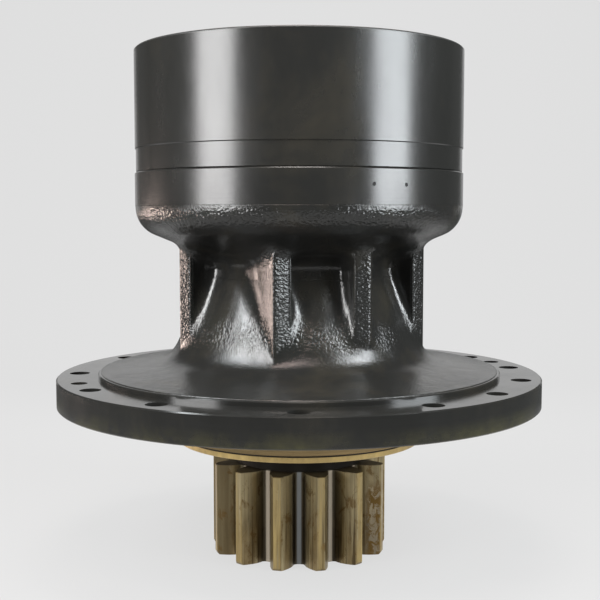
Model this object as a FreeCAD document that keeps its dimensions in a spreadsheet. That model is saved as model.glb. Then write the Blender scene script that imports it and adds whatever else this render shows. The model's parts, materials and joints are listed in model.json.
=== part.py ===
import FreeCAD, Part
import math
import os
import re

import Sketcher

# Swing gearbox, millimetres, +Z up, origin on the axis at the seating face of the flange.
# Azimuth 0 looks out to the front (-Y) and grows towards +X.

os.makedirs("parts", exist_ok=True)
doc = FreeCAD.newDocument("swing_gearbox")
sheet = doc.addObject("Spreadsheet::Sheet", "Sizes")

SIZES = [
    # Casing, outside
    ("flange_radius", "212.5"),
    ("flange_height", "24.3"),
    ("flange_edge", "1"),
    ("pad_height", "4"),
    ("pad_edge", "0.8"),
    ("foot_radius", "113.8"),
    ("foot_height", "38.4"),
    ("foot_round", "20"),
    ("neck_radius", "74"),
    ("neck_height", "126"),
    ("neck_round", "11"),
    ("bowl_radius", "143.3"),
    ("bowl_height", "154.6"),
    ("bowl_round", "26"),
    ("band_step", "0.2"),
    ("band_height", "172.5"),
    ("joint_height", "201"),
    ("joint_edge", "0.9"),
    ("spigot_radius", "110"),
    ("spigot_depth", "27.4"),
    ("bolt_edge", "17.5"),
    ("bolt_circle_radius", "=flange_radius - bolt_edge"),
    ("bolt_hole_radius", "8.75"),
    ("pad_margin", "9.45"),
    ("pad_radius", "=bolt_circle_radius - bolt_hole_radius - pad_margin"),
    ("jack_hole_radius", "7"),
    ("right_run_start", "30.7"),
    ("right_run_pitch", "22.5"),
    ("left_run_start", "32.9"),
    ("left_run_pitch", "27.4"),
    ("back_run_start", "149"),
    ("back_run_pitch", "31.4"),
    ("odd_hole_azimuth", "240.6"),
    ("jack_hole_azimuth", "109.6"),
    ("rib_reach", "107.5"),
    ("rib_width", "15"),
    ("rib_root", "14"),
    ("rib_low", "38"),
    ("rib_low_step", "22"),
    ("rib_high", "146"),
    # Casing, inside
    ("seat_gap", "0.02"),
    ("run_gap", "0.05"),
    ("face_gap", "0.15"),
    ("cavity_radius", "121.5"),
    ("cavity_floor", "160"),
    ("cavity_foot_radius", "100"),
    ("cavity_foot_rise", "12"),
    ("neck_bore_radius", "62"),
    ("seal_groove_depth", "2.4"),
    ("seal_groove_width", "2.8"),
    ("seal_groove_start", "1.2"),
    # Bearings
    ("lower_bearing_radius", "80"),
    ("lower_journal_radius", "45"),
    ("lower_bearing_low", "-12"),
    ("lower_bearing_width", "40"),
    ("upper_bearing_radius", "70"),
    ("upper_journal_radius", "40"),
    ("upper_bearing_low", "124"),
    ("upper_bearing_width", "33"),
    ("roller_count", "14"),
    # Ring gear and trains
    ("top_height", "305.5"),
    ("ring_radius", "142.4"),
    ("ring_step_height", "220.7"),
    ("ring_step", "0.8"),
    ("ring_chamfer", "1"),
    ("register_radius", "121"),
    ("register_depth", "5"),
    ("gear_module", "4"),
    ("gear_backlash", "0.3"),
    ("ring_teeth", "57"),
    ("sun_1_teeth", "15"),
    ("planet_1_teeth", "21"),
    ("sun_2_teeth", "21"),
    ("planet_2_teeth", "18"),
    ("ring_screw_circle", "131.5"),
    ("ring_screw_count", "8"),
    ("ring_screw_radius", "5"),
    ("ring_screw_room", "5.5"),
    ("ring_head_radius", "8"),
    ("ring_head_height", "10"),
    ("ring_head_room", "0.4"),
    ("ring_head_sink", "2"),
    ("ring_key_radius", "4.6"),
    ("ring_screw_reach", "20"),
    ("motor_hole_radius", "6.9"),
    ("motor_hole_depth", "24"),
    ("dowel_radius", "4"),
    ("dowel_length", "24"),
    ("dowel_azimuth", "33.75"),
    # Carriers
    ("carrier_2_low", "172"),
    ("carrier_2_face", "202"),
    ("carrier_2_radius", "104"),
    ("planet_2_width", "40"),
    ("carrier_2_top_plate", "10"),
    ("pin_2_radius", "14"),
    ("carrier_1_low", "258"),
    ("carrier_1_plate", "10"),
    ("carrier_1_radius", "106"),
    ("carrier_1_scoop", "26"),
    ("carrier_1_scoop_offset", "8"),
    ("planet_1_width", "22"),
    ("pin_1_radius", "12"),
    ("pin_2_floor", "10"),
    ("clip_groove_depth", "1.2"),
    ("clip_thickness", "1.5"),
    ("clip_rise", "2.2"),
    ("clip_opening", "8"),
    ("washer_thickness", "1.5"),
    ("washer_radius", "24"),
    ("button_radius", "22"),
    ("button_bore", "6"),
    ("button_thickness", "2.4"),
    ("sun_2_recess_radius", "16"),
    ("sun_2_recess_depth", "12"),
    # Pinion shaft and its seal
    ("pinion_module", "10"),
    ("pinion_teeth", "13"),
    ("pinion_shift", "0.5"),
    ("pinion_tip_radius", "78"),
    ("pinion_high", "-53"),
    ("pinion_width", "80"),
    ("pinion_low_chamfer", "2.5"),
    ("pinion_high_chamfer", "0.6"),
    ("pinion_root_round", "3"),
    ("shaft_collar_radius", "56"),
    ("seal_journal_radius", "52"),
    ("spline_radius", "38"),
    ("spline_depth", "3"),
    ("spline_teeth", "20"),
    ("shaft_top", "190"),
    ("centre_hole_radius", "7"),
    ("centre_hole_depth", "16"),
    ("centre_drill_radius", "4"),
    ("cover_height", "6"),
    ("cover_line", "0.5"),
    ("cover_inset", "1.2"),
    ("cover_screw_circle", "94"),
    ("cover_screw_radius", "4"),
    ("cover_head_radius", "7"),
    ("cover_head_height", "3.15"),
    ("cover_key_radius", "2.9"),
    ("cover_screw_reach", "16"),
    ("retainer_radius", "31"),
    ("retainer_thickness", "8"),
    ("retainer_screw_circle", "20"),
    ("retainer_screw_radius", "4"),
    ("retainer_head_height", "4"),
    ("retainer_head_radius", "7"),
    ("retainer_screw_reach", "20"),
    ("nut_wall", "14"),
    ("nut_height", "8.5"),
    ("nut_slot_radius", "4"),
    ("cover_hub_radius", "79"),
    ("seal_radius", "68"),
    ("input_bore_radius", "14"),
    ("input_spline_depth", "1.6"),
    ("input_spline_teeth", "14"),
]


def fill_sheet():
    for row, (alias, text) in enumerate(SIZES, start=1):
        sheet.set("A%d" % row, alias)
        sheet.set("B%d" % row, text)
        sheet.setAlias("B%d" % row, alias)
    doc.recompute()


ALIASES = {alias for alias, text in SIZES}
fill_sheet()


def bound(text):
    """An expression on sheet aliases, written for use outside the sheet."""
    return re.sub(r"[a-z_][a-z_0-9]*", lambda m: "Sizes." + m[0] if m[0] in ALIASES else m[0], text)


def size(text):
    """The present value of an expression on sheet aliases."""
    return float(sheet.evalExpression(bound(text)))


def origin_plane(body, role):
    return next(f for f in body.Origin.OriginFeatures if f.Role == role)


def new_sketch(body, name, role, lift=None):
    sketch = body.newObject("Sketcher::SketchObject", name)
    sketch.AttachmentSupport = [(origin_plane(body, role), "")]
    sketch.MapMode = "FlatFace"
    if lift is not None:
        sketch.setExpression(".AttachmentOffset.Base.z", bound(lift))
    return sketch


def pin_point(sketch, geometry, place, x_text, y_text):
    """Holds a point of the sketch at sheet-driven distances from the sketch's origin."""
    for kind, axis, text in (("DistanceX", -2, x_text), ("DistanceY", -1, y_text)):
        if text == "0":
            sketch.addConstraint(Sketcher.Constraint("PointOnObject", geometry, place, axis))
            continue
        row = sketch.addConstraint(Sketcher.Constraint(kind, -1, 1, geometry, place, size(text)))
        sketch.setExpression("Constraints[%d]" % row, bound(text))


def rounded_corner(before, corner, after, radius):
    """Tangent points and centre of a round between two straight sides."""
    back = (before - corner).normalize()
    ahead = (after - corner).normalize()
    half = math.acos(max(-1.0, min(1.0, back.dot(ahead)))) / 2
    leg = radius / math.tan(half)
    middle = corner + (back + ahead).normalize() * (radius / math.sin(half))
    return corner + back * leg, corner + ahead * leg, middle


def closed_outline(sketch, corners):
    """Straight sides between sheet-driven corners, some of them rounded."""
    points = [FreeCAD.Vector(size(c[0]), size(c[1]), 0) for c in corners]
    count = len(points)
    starts, ends, arcs = list(points), list(points), {}
    for i, corner in enumerate(corners):
        if len(corner) > 2:
            trio = points[i - 1], points[i], points[(i + 1) % count]
            first, second, middle = rounded_corner(*trio, size(corner[2]))
            ends[i], starts[i] = first, second
            arcs[i] = (first, second, middle, size(corner[2]))
    sides = []
    for i in range(count):
        line = Part.LineSegment(starts[i], ends[(i + 1) % count])
        sides.append(sketch.addGeometry(line))
    for i, corner in enumerate(corners):
        before, after = sides[i - 1], sides[i]
        if i not in arcs:
            sketch.addConstraint(Sketcher.Constraint("Coincident", before, 2, after, 1))
            pin_point(sketch, after, 1, corner[0], corner[1])
            continue
        mark = sketch.addGeometry(Part.Point(points[i]), True)
        pin_point(sketch, mark, 1, corner[0], corner[1])
        sketch.addConstraint(Sketcher.Constraint("PointOnObject", mark, 1, before))
        sketch.addConstraint(Sketcher.Constraint("PointOnObject", mark, 1, after))
        add_round(sketch, before, after, *arcs[i], corner[2])


def add_round(sketch, before, after, first, second, middle, radius, text):
    one = math.atan2(first.y - middle.y, first.x - middle.x)
    two = math.atan2(second.y - middle.y, second.x - middle.x)
    circle = Part.Circle(middle, FreeCAD.Vector(0, 0, 1), radius)
    if (two - one) % (2 * math.pi) < math.pi:
        arc = sketch.addGeometry(Part.ArcOfCircle(circle, one, two))
        sketch.addConstraint(Sketcher.Constraint("Tangent", before, 2, arc, 1))
        sketch.addConstraint(Sketcher.Constraint("Tangent", arc, 2, after, 1))
    else:
        arc = sketch.addGeometry(Part.ArcOfCircle(circle, two, one))
        sketch.addConstraint(Sketcher.Constraint("Tangent", before, 2, arc, 2))
        sketch.addConstraint(Sketcher.Constraint("Tangent", arc, 1, after, 1))
    row = sketch.addConstraint(Sketcher.Constraint("Radius", arc, radius))
    sketch.setExpression("Constraints[%d]" % row, bound(text))


def turned_body(label, corners):
    """A body turned about the axis from one outline of (radius, height) corners."""
    body = doc.addObject("PartDesign::Body", label)
    sketch = new_sketch(body, label + "_profile", "XZ_Plane")
    closed_outline(sketch, corners)
    turn = body.newObject("PartDesign::Revolution", label + "_turn")
    turn.Profile = (sketch, [""])
    turn.ReferenceAxis = (sketch, ["V_Axis"])
    turn.Angle = 360
    body.Tip = turn
    sketch.Visibility = False
    return body


def ring_corners(inner, outer, low, high):
    return [(inner, low), (outer, low), (outer, high), (inner, high)]


def hole_circles(sketch, circle_radius, azimuths, radius):
    """Circles on a pitch circle, at azimuths in degrees from the front."""
    for azimuth in azimuths:
        turn = math.radians(size(azimuth))
        reach = size(circle_radius)
        centre = FreeCAD.Vector(reach * math.sin(turn), -reach * math.cos(turn), 0)
        ring = sketch.addGeometry(Part.Circle(centre, FreeCAD.Vector(0, 0, 1), size(radius)))
        x_text = "(%s) * sin((%s) * 1deg)" % (circle_radius, azimuth) if reach else "0"
        y_text = "-(%s) * cos((%s) * 1deg)" % (circle_radius, azimuth) if reach else "0"
        pin_point(sketch, ring, 3, x_text, y_text)
        row = sketch.addConstraint(Sketcher.Constraint("Radius", ring, size(radius)))
        sketch.setExpression("Constraints[%d]" % row, bound(radius))


def drill(body, name, circle_radius, azimuths, radius, low, depth):
    """Holes cut upwards from a height, all in one pocket."""
    before = body.Shape.Volume if body.Tip else 0
    sketch = new_sketch(body, name + "_circles", "XY_Plane", low)
    hole_circles(sketch, circle_radius, azimuths, radius)
    pocket = body.newObject("PartDesign::Pocket", name)
    pocket.Profile = (sketch, [""])
    pocket.Reversed = True
    pocket.Length = size(depth)
    pocket.setExpression("Length", bound(depth))
    body.Tip = pocket
    sketch.Visibility = False
    doc.recompute()
    if not body.Shape.Volume < before:
        raise RuntimeError(name + " cut nothing")
    return pocket


def every(count_text, start="0"):
    """Azimuths evenly round the circle."""
    return ["%s + %d * 360 / (%s)" % (start, i, count_text) for i in range(round(size(count_text)))]


# Involute gears


def involute(angle):
    return math.tan(angle) - angle


def half_tooth(radius, pitch_radius, pressure, half_pitch_angle):
    """Half of a tooth's angle at a radius, from its half angle at the pitch circle."""
    base = pitch_radius * math.cos(pressure)
    at = math.acos(min(1.0, base / max(radius, base)))
    return half_pitch_angle + involute(pressure) - involute(at)


def gear_outline(teeth, module, pressure, root, tip, half_angle, start, strips, root_round=0):
    """Closed polygon of a gear with a tooth centred on the start angle."""
    pitch_radius = teeth * module / 2
    base = pitch_radius * math.cos(pressure)
    form = max(base, root)
    flank = [form + (tip - form) * i / strips for i in range(strips + 1)]
    side = [(r, half_tooth(r, pitch_radius, pressure, half_angle)) for r in flank]
    if root_round:
        side = root_arc(root, root_round, side[0][1]) + side
    elif root < form - 0.01:
        side = [(root, side[0][1])] + side
    points = []
    for tooth in range(teeth):
        middle = start + 2 * math.pi * tooth / teeth
        points += [polar(r, middle - half) for r, half in side]
        points += [polar(r, middle + half) for r, half in reversed(side)]
    return points


def root_arc(root, radius, half):
    """Radii and half angles of the round between the root and an upright flank."""
    arc = []
    for i in range(5):
        turn = math.pi / 2 * i / 4
        r = root + radius * (1 - math.cos(turn))
        arc.append((r, half + radius * (1 - math.sin(turn)) / r))
    return arc


def polar(radius, angle, height=0.0):
    return FreeCAD.Vector(radius * math.cos(angle), radius * math.sin(angle), height)


def prism(points, low, high):
    raised = [FreeCAD.Vector(p.x, p.y, low) for p in points]
    face = Part.Face(Part.makePolygon(raised + raised[:1]))
    return face.extrude(FreeCAD.Vector(0, 0, high - low))


def rod(radius, low, high, x=0.0, y=0.0):
    return Part.makeCylinder(radius, high - low, FreeCAD.Vector(x, y, low))


def turned(points):
    """A solid turned about the axis from (radius, height) points."""
    outline = [FreeCAD.Vector(r, 0, z) for r, z in points]
    face = Part.Face(Part.makePolygon(outline + outline[:1]))
    return face.revolve(FreeCAD.Vector(0, 0, 0), FreeCAD.Vector(0, 0, 1), 360)


def tube(inner, outer, low, high, x=0.0, y=0.0):
    return rod(outer, low, high, x, y).cut(rod(inner, low - 1, high + 1, x, y))


def placed_part(label, shape, place=None):
    """A named part of the gearbox from a finished shape."""
    part = doc.addObject("Part::Feature", label)
    part.Shape = shape
    if place is not None:
        part.Placement = FreeCAD.Placement(place, FreeCAD.Rotation())
    return part


PRESSURE = math.radians(25)
PINION_PRESSURE = math.radians(20)
FIRST_PLANET = math.radians(90)
MODULE = size("gear_module")
BACKLASH = size("gear_backlash")
STRIPS = 2


def train_gear(teeth, low, high, start):
    """An external gear of the planetary trains, thinned by a quarter of the backlash each flank."""
    pitch_radius = teeth * MODULE / 2
    half = math.pi / (2 * teeth) - BACKLASH / (4 * pitch_radius)
    root = pitch_radius - 1.25 * MODULE
    tip = pitch_radius + MODULE
    return prism(gear_outline(teeth, MODULE, PRESSURE, root, tip, half, start, STRIPS), low, high)


def ring_space(teeth, low, high, start, depth=1.25, gap=0.0):
    """The room cut out of a ring with inner teeth: a gear as wide as the spaces."""
    pitch_radius = teeth * MODULE / 2
    half = math.pi / (2 * teeth) + (BACKLASH / 4 + gap) / pitch_radius
    root = pitch_radius - MODULE
    tip = pitch_radius + depth * MODULE
    return prism(gear_outline(teeth, MODULE, PRESSURE, root, tip, half, start, STRIPS), low, high)


def notched_outline(count, outer, depth, share=0.5):
    """A straight-sided spline: lands at the outer radius, notches of the given depth."""
    step = 2 * math.pi / count
    inner = outer - depth
    points = []
    for i in range(count):
        middle = i * step
        points.append(polar(inner, middle - step * (0.5 - share * 0.4)))
        points.append(polar(outer, middle - step * share * 0.45))
        points.append(polar(outer, middle + step * share * 0.45))
        points.append(polar(inner, middle + step * (0.5 - share * 0.4)))
    return points


def planet_places(distance):
    return [polar(distance, FIRST_PLANET + 2 * math.pi * i / 3) for i in range(3)]


# Casing


def flange_azimuths():
    right = ["right_run_start + %d * right_run_pitch" % i for i in range(5)]
    left = ["-(left_run_start + %d * left_run_pitch)" % i for i in range(3)]
    back = ["back_run_start + %d * back_run_pitch" % i for i in range(3)]
    opposite = ["right_run_start - 90", "right_run_start - 180"]
    return ["0"] + right + [left[0], left[2]] + [back[0], back[1]] + opposite + ["odd_hole_azimuth"]


RIBS = [
    # name, azimuth of the outer end, direction of the plate, height of the lower end
    ("rib_left", -63.4, -45, "rib_low"),
    ("rib_front", -7, 28, "rib_low"),
    ("rib_right_front", 28.5, 12, "rib_low + rib_low_step"),
    ("rib_right", 71.7, 45, "rib_low"),
]


def casing_outline():
    return [
        ("lower_bearing_radius + seat_gap", "-spigot_depth"),
        ("spigot_radius", "-spigot_depth"),
        ("spigot_radius", "0"),
        ("flange_radius - flange_edge", "0"),
        ("flange_radius", "flange_edge"),
        ("flange_radius", "flange_height - flange_edge"),
        ("flange_radius - flange_edge", "flange_height"),
        ("pad_radius", "flange_height"),
        ("pad_radius", "flange_height + pad_height - pad_edge"),
        ("pad_radius - pad_edge", "flange_height + pad_height"),
        ("foot_radius", "foot_height", "foot_round"),
        ("neck_radius", "neck_height", "neck_round"),
        ("bowl_radius", "bowl_height", "bowl_round"),
        ("bowl_radius", "band_height"),
        ("bowl_radius + band_step", "band_height + band_step"),
        ("bowl_radius + band_step", "joint_height - joint_edge"),
        ("bowl_radius + band_step - joint_edge", "joint_height"),
        ("cavity_radius + seal_groove_start + seal_groove_width", "joint_height"),
        ("cavity_radius + seal_groove_start + seal_groove_width", "joint_height - seal_groove_depth"),
        ("cavity_radius + seal_groove_start", "joint_height - seal_groove_depth"),
        ("cavity_radius + seal_groove_start", "joint_height"),
        ("cavity_radius", "joint_height"),
        ("cavity_radius", "cavity_floor + cavity_foot_rise"),
        ("cavity_foot_radius", "cavity_floor"),
        ("upper_bearing_radius + seat_gap", "cavity_floor"),
        ("upper_bearing_radius + seat_gap", "upper_bearing_low"),
        ("neck_bore_radius", "upper_bearing_low"),
        ("neck_bore_radius", "lower_bearing_low + lower_bearing_width"),
        ("lower_bearing_radius + seat_gap", "lower_bearing_low + lower_bearing_width"),
    ]


def add_rib(body, name, azimuth, direction, low):
    """A plate standing between the cone and the bowl, its outer end at the rib reach."""
    sketch = new_sketch(body, name + "_section", "XY_Plane", low)
    reach = size("rib_reach")
    half = size("rib_width") / 2
    depth = size("rib_reach - neck_bore_radius + rib_root")
    out = FreeCAD.Vector(math.sin(math.radians(direction)), -math.cos(math.radians(direction)), 0)
    side = FreeCAD.Vector(-out.y, out.x, 0)
    turn = math.radians(azimuth)
    end = FreeCAD.Vector(reach * math.sin(turn), -reach * math.cos(turn), 0)
    foot = end - out * depth
    corners = [foot - side * half, end - side * half, end + side * half, foot + side * half]
    for i in range(4):
        sketch.addGeometry(Part.LineSegment(corners[i], corners[(i + 1) % 4]))
        sketch.addConstraint(Sketcher.Constraint("Block", i))
    pad = body.newObject("PartDesign::Pad", name)
    pad.Profile = (sketch, [""])
    pad.Length = size("rib_high") - size(low)
    pad.setExpression("Length", bound("rib_high - (" + low + ")"))
    body.Tip = pad
    sketch.Visibility = False
    return pad


def make_casing():
    body = turned_body("casing", casing_outline())
    doc.recompute()
    ribs = [add_rib(body, *rib) for rib in RIBS]
    doc.recompute()
    pattern = body.newObject("PartDesign::PolarPattern", "ribs_opposite")
    pattern.Originals = ribs
    pattern.Axis = (origin_axis(body), [""])
    pattern.Angle = 360
    pattern.Occurrences = 2
    body.Tip = pattern
    doc.recompute()
    neck_low = "lower_bearing_low + lower_bearing_width"
    neck_length = "upper_bearing_low - (" + neck_low + ")"
    drill(body, "neck_bore", "0", ["0"], "neck_bore_radius", neck_low, neck_length)
    drill(body, "upper_bearing_bore", "0", ["0"], "upper_bearing_radius + seat_gap",
          "upper_bearing_low", "cavity_floor - upper_bearing_low")
    deep = "flange_height + 2"
    drill(body, "bolt_holes", "bolt_circle_radius", flange_azimuths(), "bolt_hole_radius", "-1", deep)
    jacks = ["jack_hole_azimuth", "jack_hole_azimuth - 180"]
    drill(body, "jack_holes", "bolt_circle_radius", jacks, "jack_hole_radius", "-1", deep)
    count = "ring_screw_count"
    tapped = "ring_screw_radius + run_gap"
    drill(body, "ring_screw_holes", "ring_screw_circle", every(count), tapped,
          "joint_height - ring_screw_reach - 2", "ring_screw_reach + 3")
    dowels = every("2", "dowel_azimuth")
    drill(body, "dowel_holes", "ring_screw_circle", dowels, "dowel_radius + seat_gap",
          "joint_height - dowel_length / 2 - 0.3", "dowel_length")
    drill(body, "cover_screw_holes", "cover_screw_circle", every("6"), "cover_screw_radius + run_gap",
          "-spigot_depth - 1", "cover_screw_reach + 3")
    return body


def origin_axis(body):
    return next(f for f in body.Origin.OriginFeatures if f.Role == "Z_Axis")


# Ring gear with the motor face on top


def make_ring_gear():
    outer = size("ring_radius")
    wide = outer + size("ring_step")
    low, high = size("joint_height"), size("top_height")
    step, chamfer = size("ring_step_height"), size("ring_chamfer")
    root = size("ring_teeth") * MODULE / 2 - MODULE
    register, floor = size("register_radius"), high - size("register_depth")
    edge = size("joint_edge")
    blank = turned([
        (root, low),
        (outer - edge, low),
        (outer, low + edge),
        (outer, step),
        (wide, step + wide - outer),
        (wide, high - chamfer),
        (wide - chamfer, high),
        (register, high),
        (register, floor),
        (root, floor),
    ])
    space = ring_space(round(size("ring_teeth")), low - 1, high, FIRST_PLANET)
    ring = blank.cut(space)
    circle = size("ring_screw_circle")
    count = round(size("ring_screw_count"))
    head_low = high - size("ring_head_height + ring_head_sink")
    screw_room, head_room = size("ring_screw_room"), size("ring_head_radius + ring_head_room")
    motor_hole, motor_low = size("motor_hole_radius"), high - size("motor_hole_depth")
    cutters = []
    for i in range(count):
        at = polar(circle, math.radians(-90 + 360 * i / count))
        cutters.append(rod(screw_room, low - 1, high, at.x, at.y))
        cutters.append(rod(head_room, head_low, high + 1, at.x, at.y))
        at = polar(circle, math.radians(-90 + 360 * (i + 0.5) / count))
        cutters.append(rod(motor_hole, motor_low, high + 1, at.x, at.y))
    for at in dowel_places():
        top = low + size("dowel_length") / 2
        cutters.append(rod(size("dowel_radius + seat_gap"), low - 1, top, at.x, at.y))
    placed_part("ring_gear", ring.cut(Part.makeCompound(cutters)))


def dowel_places():
    circle, first = size("ring_screw_circle"), size("dowel_azimuth")
    return [polar(circle, math.radians(azimuth - 90)) for azimuth in (first, first + 180)]


def hexagon(radius, x, y):
    return [FreeCAD.Vector(x, y, 0) + polar(radius, math.pi * i / 3) for i in range(6)]


def socket_screw(x, y, seat, length):
    """A socket-head screw, its head on the seat height and its shank below."""
    height = size("ring_head_height")
    shank = rod(size("ring_screw_radius"), seat - length, seat, x, y)
    head = rod(size("ring_head_radius"), seat, seat + height, x, y)
    key = prism(hexagon(size("ring_key_radius"), x, y), seat + height * 0.45, seat + height + 1)
    return shank.fuse(head).cut(key).removeSplitter()


def make_ring_fasteners():
    circle = size("ring_screw_circle")
    count = round(size("ring_screw_count"))
    seat = size("top_height - ring_head_height - ring_head_sink")
    length = seat - size("joint_height - ring_screw_reach")
    screws = []
    for i in range(count):
        at = polar(circle, math.radians(-90 + 360 * i / count))
        screws.append(socket_screw(at.x, at.y, seat, length))
    placed_part("ring_screws", Part.makeCompound(screws))
    dowels = []
    low = size("joint_height - dowel_length / 2")
    for at in dowel_places():
        dowels.append(rod(size("dowel_radius"), low, low + size("dowel_length") - 0.3, at.x, at.y))
    placed_part("ring_dowels", Part.makeCompound(dowels))
    turned_body("joint_seal", ring_corners("cavity_radius + seal_groove_start + 0.1",
                                           "cavity_radius + seal_groove_start + seal_groove_width - 0.1",
                                           "joint_height - seal_groove_depth + 0.05", "joint_height - 0.05"))


# Bearings, each an outer ring, an inner ring, rollers and a cage

ROLLER_SHARE = 0.26
TRACK_LEAN = 1.2
LIP_SHARE = 0.1
CAGE_SHARE = 0.16


def leaning_rod(radius, length, placement):
    piece = Part.makeCylinder(radius, length, FreeCAD.Vector(0, 0, -length / 2))
    piece.Placement = placement
    return piece


def make_bearing(name):
    outer = size(name + "_bearing_radius")
    bore = size(name + "_journal_radius + seat_gap")
    low = size(name + "_bearing_low")
    width = size(name + "_bearing_width")
    gap = size("run_gap")
    roller = (outer - bore) * ROLLER_SHARE
    middle = (outer + bore) / 2
    lean = TRACK_LEAN
    lip = width * LIP_SHARE
    inner_track = middle - roller / 2 - gap
    outer_track = middle + roller / 2 + gap
    slope = 2 * lean / (width - 2 * lip)
    cup = [(outer, low + 0.1), (outer, low + width), (outer_track + lean + slope * lip, low + width),
           (outer_track - lean, low + lip), (outer_track - lean, low + 0.1)]
    placed_part(name + "_bearing_outer", turned(cup))
    cone = [(bore, low + 0.1), (inner_track - lean, low + 0.1), (inner_track - lean, low + lip),
            (inner_track + lean, low + width - lip), (inner_track + lean + 2, low + width - lip),
            (inner_track + lean + 2, low + width), (bore, low + width)]
    placed_part(name + "_bearing_inner", turned(cone))
    roll_low, roll_high = low + lip, low + width - lip - 0.2
    count = round(size("roller_count"))
    tilt = math.degrees(math.atan(slope))
    length = roll_high - roll_low - 1.2
    rollers, pockets = [], []
    for i in range(count):
        angle = 2 * math.pi * i / count
        at = polar(middle, angle, (roll_low + roll_high) / 2)
        lean_axis = FreeCAD.Vector(-math.sin(angle), math.cos(angle), 0)
        leaning = FreeCAD.Placement(at, FreeCAD.Rotation(lean_axis, tilt))
        rollers.append(leaning_rod(roller / 2 - 0.15, length, leaning))
        pockets.append(leaning_rod(roller / 2 + 0.05, length + 0.2, leaning))
    placed_part(name + "_bearing_rollers", Part.makeCompound(rollers))
    half = roller * CAGE_SHARE
    spread = (length / 2 + 0.9) * slope
    cage_low, cage_high = roll_low + 0.1, roll_high - 0.1
    cage = turned([(middle - half - spread, cage_low), (middle + half - spread, cage_low),
                   (middle + half + spread, cage_high), (middle - half + spread, cage_high)])
    placed_part(name + "_bearing_cage", cage.cut(Part.makeCompound(pockets)))


# Output pinion shaft

PINION_THINNING = 0.002
PINION_STRIPS = 4


def make_pinion_shaft():
    high = size("pinion_high")
    low = high - size("pinion_width")
    teeth = round(size("pinion_teeth"))
    module = size("pinion_module")
    shift = size("pinion_shift")
    tip = size("pinion_tip_radius")
    pitch_radius = teeth * module / 2
    root = pitch_radius + shift * module - 1.25 * module
    half = (math.pi / 2 + 2 * shift * math.tan(PINION_PRESSURE)) / teeth - PINION_THINNING
    outline = gear_outline(teeth, module, PINION_PRESSURE, root, tip, half,
                           math.radians(-90) + math.pi / teeth, PINION_STRIPS, size("pinion_root_round"))
    cut, nick = size("pinion_low_chamfer"), size("pinion_high_chamfer")
    limits = turned([
        (0, low),
        (tip - cut * 0.6, low),
        (tip, low + cut),
        (tip, high - nick),
        (tip - nick, high),
        (0, high),
    ])
    pinion = prism(outline, low, high).common(limits)
    collar, seal = size("shaft_collar_radius"), size("seal_journal_radius")
    lower, upper = size("lower_journal_radius"), size("upper_journal_radius")
    shoulder = size("lower_bearing_low")
    cover_low = -size("spigot_depth + cover_height")
    thread = size("upper_bearing_low + upper_bearing_width")
    spline = size("spline_radius")
    top = size("shaft_top")
    lower_end = size("lower_bearing_low + lower_bearing_width")
    relief = size("upper_bearing_low") - 4
    core = spline - size("spline_depth") - 0.5
    shaft = turned([
        (0, high - 1),
        (collar, high - 1),
        (collar, cover_low - 2),
        (seal, cover_low + 1),
        (seal, shoulder - 1),
        (seal - 1, shoulder),
        (lower, shoulder),
        (lower, lower_end),
        (lower - 0.5, lower_end + 2),
        (lower - 0.5, relief),
        (upper, relief),
        (upper, thread + size("nut_height") + 0.5),
        (core, thread + size("nut_height") + 3.5),
        (core, top),
        (0, top),
    ])
    keyed = prism(notched_outline(round(size("spline_teeth")), spline, size("spline_depth")),
                  size("carrier_2_low") - 1, top)
    body = pinion.fuse([shaft, keyed]).removeSplitter()
    mouth, drill_radius = size("centre_hole_radius"), size("centre_drill_radius")
    hole_top = low + size("centre_hole_depth")
    centre_hole = turned([
        (0, low - 1),
        (mouth, low - 1),
        (mouth, low),
        (drill_radius, (low + hole_top) / 2),
        (drill_radius, hole_top - drill_radius / 2),
        (0, hole_top),
    ])
    tap, tap_low = size("retainer_screw_radius + run_gap"), top - size("retainer_screw_reach") - 2
    taps = [rod(tap, tap_low, top + 1, at.x, at.y) for at in retainer_screw_places()]
    placed_part("pinion_shaft", body.cut(Part.makeCompound([centre_hole] + taps)))


def retainer_screw_places():
    circle = size("retainer_screw_circle")
    return [polar(circle, math.radians(90 + 120 * i)) for i in range(3)]


def make_shaft_pieces():
    turned_body("bearing_spacer", ring_corners(
        "lower_journal_radius + run_gap", "lower_journal_radius + 8",
        "lower_bearing_low + lower_bearing_width + 0.1", "upper_bearing_low - 0.1"))
    nut_low = "upper_bearing_low + upper_bearing_width"
    nut = turned_body("lock_nut", ring_corners(
        "upper_journal_radius + seat_gap", "upper_journal_radius + nut_wall",
        nut_low + " + 0.1", nut_low + " + nut_height"))
    doc.recompute()
    drill(nut, "spanner_slots", "upper_journal_radius + nut_wall", every("4", "45"), "nut_slot_radius",
          nut_low, "nut_height + 3.5")
    top = size("shaft_top")
    seat = top + size("retainer_thickness")
    plate = rod(size("retainer_radius"), top + 0.05, seat)
    bolts = []
    for at in retainer_screw_places():
        plate = plate.cut(rod(size("retainer_screw_radius") + 0.5, top - 1, seat + 1, at.x, at.y))
        corners = hexagon(size("retainer_head_radius"), at.x, at.y)
        head = prism(corners, seat, seat + size("retainer_head_height"))
        shank = rod(size("retainer_screw_radius"), top - size("retainer_screw_reach"), seat, at.x, at.y)
        bolts.append(shank.fuse(head).removeSplitter())
    placed_part("shaft_retainer", plate)
    placed_part("retainer_screws", Part.makeCompound(bolts))


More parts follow.
